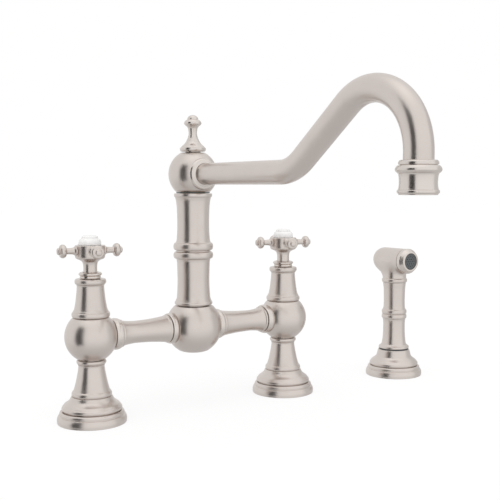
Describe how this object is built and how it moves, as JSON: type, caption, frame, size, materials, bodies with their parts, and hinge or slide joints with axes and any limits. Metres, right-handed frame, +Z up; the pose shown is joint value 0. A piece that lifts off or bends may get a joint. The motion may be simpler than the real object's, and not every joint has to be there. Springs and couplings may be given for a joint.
{
  "type": "bridge kitchen faucet",
  "caption": "Bridge kitchen faucet with cross handles, a swivelling swan-neck spout on a turned column, and a separate lift-out side spray.",
  "frame": {"origin": "on the deck that the faucet stands on, under the middle of its box", "axes": "+X along the bridge from the hot pillar to the cold one and on to the spray, +Y away from the user (the spout points along -Y), +Z up from the deck"},
  "size_m": [0.4116, 0.333, 0.2795],
  "materials": {
    "satin_nickel": "cast and turned brass, nickel plated and brushed to a soft warm satin",
    "polished_nickel": "turned brass, nickel plated, a little brighter than the satin pieces",
    "porcelain": "plain white glazed porcelain",
    "brass": "bare machined brass",
    "rubber": "matt black nitrile rubber",
    "dark_plastic": "moulded dark grey acetal, fine matt",
    "spring_steel": "bare stainless spring wire"
  },
  "bodies": {
    "fixed_set": {"hot_base_flange": "satin_nickel", "hot_base_gasket": "rubber", "hot_leg": "satin_nickel", "hot_valve_body": "satin_nickel", "hot_cartridge_seal": "rubber", "hot_cartridge": "brass", "hot_bonnet": "satin_nickel", "hot_gland_collar": "polished_nickel", "hot_valve_union": "polished_nickel", "hot_bridge_arm": "satin_nickel", "hot_tee_union": "polished_nickel", "cold_base_flange": "satin_nickel", "cold_base_gasket": "rubber", "cold_leg": "satin_nickel", "cold_valve_body": "satin_nickel", "cold_cartridge_seal": "rubber", "cold_cartridge": "brass", "cold_bonnet": "satin_nickel", "cold_gland_collar": "polished_nickel", "cold_valve_union": "polished_nickel", "cold_bridge_arm": "satin_nickel", "cold_tee_union": "polished_nickel", "tee_body": "satin_nickel", "column": "satin_nickel", "swivel_washer": "dark_plastic", "spray_holder": "satin_nickel", "spray_gasket": "rubber", "spray_bush": "dark_plastic"},
    "spout": {"swivel_spigot": "brass", "upper_sealing_ring": "rubber", "lower_sealing_ring": "rubber", "spout_ball": "satin_nickel", "spout_collar": "polished_nickel", "spout_pipe": "satin_nickel", "finial": "polished_nickel", "outlet_collar": "polished_nickel", "aerator_washer": "rubber", "aerator": "dark_plastic"},
    "hot_handle": {"hot_spindle": "brass", "hot_cross_handle": "satin_nickel", "hot_handle_screw": "brass", "hot_index_cap": "porcelain"},
    "cold_handle": {"cold_spindle": "brass", "cold_cross_handle": "satin_nickel", "cold_handle_screw": "brass", "cold_index_cap": "porcelain"},
    "spray_hose_end": {"hose_connector": "brass"},
    "spray_handset": {"spray_grip": "satin_nickel", "spray_head": "satin_nickel", "nozzle_ring": "polished_nickel", "spray_face": "dark_plastic"},
    "spray_thumb_button": {"spray_button": "satin_nickel", "button_spring": "spring_steel", "spray_valve": "dark_plastic"}
  },
  "joints": [
    {"name": "spout_swivel", "type": "hinge", "parent": "fixed_set", "child": "spout", "pos_m": [-0.0742, 0.13646, 0.198], "axis": [0, 0, 1], "continuous": true},
    {"name": "hot_turn", "type": "hinge", "parent": "fixed_set", "child": "hot_handle", "pos_m": [-0.1758, 0.13646, 0.13], "axis": [0, 0, 1], "range_deg": [0, 90]},
    {"name": "cold_turn", "type": "hinge", "parent": "fixed_set", "child": "cold_handle", "pos_m": [0.0274, 0.13646, 0.13], "axis": [0, 0, 1], "range_deg": [-90, 0]},
    {"name": "spray_lift", "type": "slide", "parent": "fixed_set", "child": "spray_hose_end", "axis": [0, 0, 1], "range_m": [0, 0.055]},
    {"name": "spray_turn", "type": "hinge", "parent": "spray_hose_end", "child": "spray_handset", "pos_m": [0.1758, 0.13646, 0.03], "axis": [0, 0, 1], "continuous": true},
    {"name": "button_press", "type": "slide", "parent": "spray_handset", "child": "spray_thumb_button", "axis": [0, -1, 0], "range_m": [0, 0.0025], "stiffness_N_per_m": 400, "springref_m": -0.002}
  ]
}
